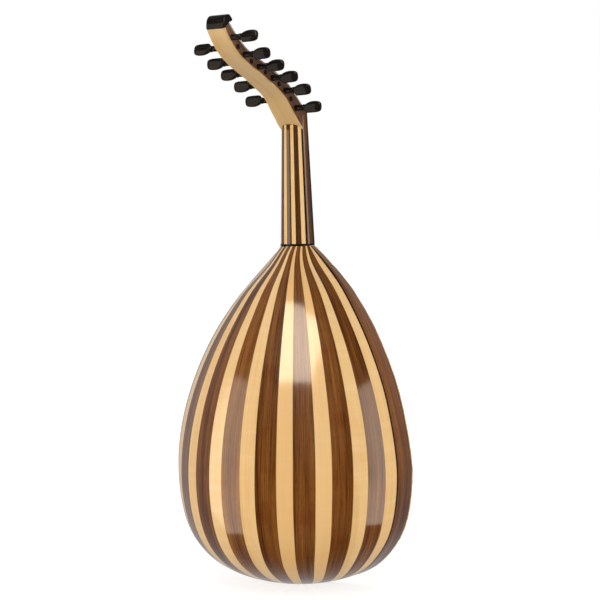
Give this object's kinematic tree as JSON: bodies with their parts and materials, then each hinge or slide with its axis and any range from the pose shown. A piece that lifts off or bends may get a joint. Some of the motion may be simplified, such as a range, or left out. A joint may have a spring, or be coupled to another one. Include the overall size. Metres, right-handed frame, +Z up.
{
  "type": "oud",
  "caption": "Fretless lute with a deep striped bowl back, a short neck and a bent-back pegbox whose friction pegs turn to tune its paired strings.",
  "frame": {"origin": "where a wall hanger's fork holds the neck: on the neck's centre line in the soundboard's plane, 45 mm below the nut", "axes": "+Z runs up the neck to the nut, +Y runs from the soundboard into the bowl and to the back, +X is across, to the player's right seen from the front"},
  "size_m": [0.3628, 0.1877, 0.7963],
  "materials": {
    "walnut": "dark straight-grained walnut under high-gloss lacquer",
    "maple": "pale maple under high-gloss lacquer",
    "cheek_walnut": "matte oiled brown walnut",
    "pale_veneer": "satin pale veneer",
    "ebony": "polished black ebony",
    "spruce": "satin spruce with fine straight grain",
    "bone": "smooth bone",
    "nylon": "clear nylon",
    "wound_string": "fine silvered winding"
  },
  "bodies": {
    "body": {"rib_01": "walnut", "rib_02": "maple", "rib_03": "walnut", "rib_04": "maple", "rib_05": "walnut", "rib_06": "maple", "rib_07": "walnut", "rib_08": "maple", "rib_09": "walnut", "rib_10": "maple", "rib_11": "walnut", "rib_12": "maple", "rib_13": "walnut", "rib_14": "maple", "rib_15": "walnut", "rib_16": "maple", "rib_17": "walnut", "rib_18": "maple", "rib_19": "walnut", "rib_20": "maple", "rib_21": "walnut", "soundboard": "spruce", "neck": "walnut", "fingerboard": "ebony", "nut": "bone", "bridge": "walnut", "pegbox_back": "pale_veneer", "pegbox_cheek_left": "cheek_walnut", "pegbox_cheek_right": "cheek_walnut", "pegbox_root": "cheek_walnut", "finial": "ebony", "end_clasp": "ebony", "neck_block": "spruce", "tail_block": "spruce", "main_rosette": "bone", "brace_1": "spruce", "brace_2": "spruce", "brace_3": "spruce", "string_01": "wound_string", "string_02": "wound_string", "string_03": "wound_string", "string_04": "wound_string", "string_05": "wound_string", "string_06": "nylon", "string_07": "nylon", "string_08": "nylon", "string_09": "nylon", "string_10": "nylon", "string_11": "nylon"},
    "peg_01": {"peg_01": "ebony"},
    "peg_02": {"peg_02": "ebony"},
    "peg_03": {"peg_03": "ebony"},
    "peg_04": {"peg_04": "ebony"},
    "peg_05": {"peg_05": "ebony"},
    "peg_06": {"peg_06": "ebony"},
    "peg_07": {"peg_07": "ebony"},
    "peg_08": {"peg_08": "ebony"},
    "peg_09": {"peg_09": "ebony"},
    "peg_10": {"peg_10": "ebony"},
    "peg_11": {"peg_11": "ebony"}
  },
  "joints": [
    {"name": "peg_01_turn", "type": "hinge", "parent": "body", "child": "peg_01", "pos_m": [0, 0.0254, 0.04416], "axis": [1, 0, 0], "continuous": true},
    {"name": "peg_02_turn", "type": "hinge", "parent": "body", "child": "peg_02", "pos_m": [0, 0.03653, 0.0567], "axis": [1, 0, 0], "continuous": true},
    {"name": "peg_03_turn", "type": "hinge", "parent": "body", "child": "peg_03", "pos_m": [0, 0.04846, 0.0678], "axis": [1, 0, 0], "continuous": true},
    {"name": "peg_04_turn", "type": "hinge", "parent": "body", "child": "peg_04", "pos_m": [0, 0.06234, 0.07665], "axis": [1, 0, 0], "continuous": true},
    {"name": "peg_05_turn", "type": "hinge", "parent": "body", "child": "peg_05", "pos_m": [0, 0.07712, 0.08456], "axis": [1, 0, 0], "continuous": true},
    {"name": "peg_06_turn", "type": "hinge", "parent": "body", "child": "peg_06", "pos_m": [0, 0.0919, 0.09222], "axis": [1, 0, 0], "continuous": true},
    {"name": "peg_07_turn", "type": "hinge", "parent": "body", "child": "peg_07", "pos_m": [0, 0.10697, 0.09921], "axis": [1, 0, 0], "continuous": true},
    {"name": "peg_08_turn", "type": "hinge", "parent": "body", "child": "peg_08", "pos_m": [0, 0.12221, 0.10623], "axis": [1, 0, 0], "continuous": true},
    {"name": "peg_09_turn", "type": "hinge", "parent": "body", "child": "peg_09", "pos_m": [0, 0.13694, 0.11455], "axis": [1, 0, 0], "continuous": true},
    {"name": "peg_10_turn", "type": "hinge", "parent": "body", "child": "peg_10", "pos_m": [0, 0.15043, 0.12484], "axis": [1, 0, 0], "continuous": true},
    {"name": "peg_11_turn", "type": "hinge", "parent": "body", "child": "peg_11", "pos_m": [0, 0.16223, 0.13699], "axis": [1, 0, 0], "continuous": true}
  ]
}
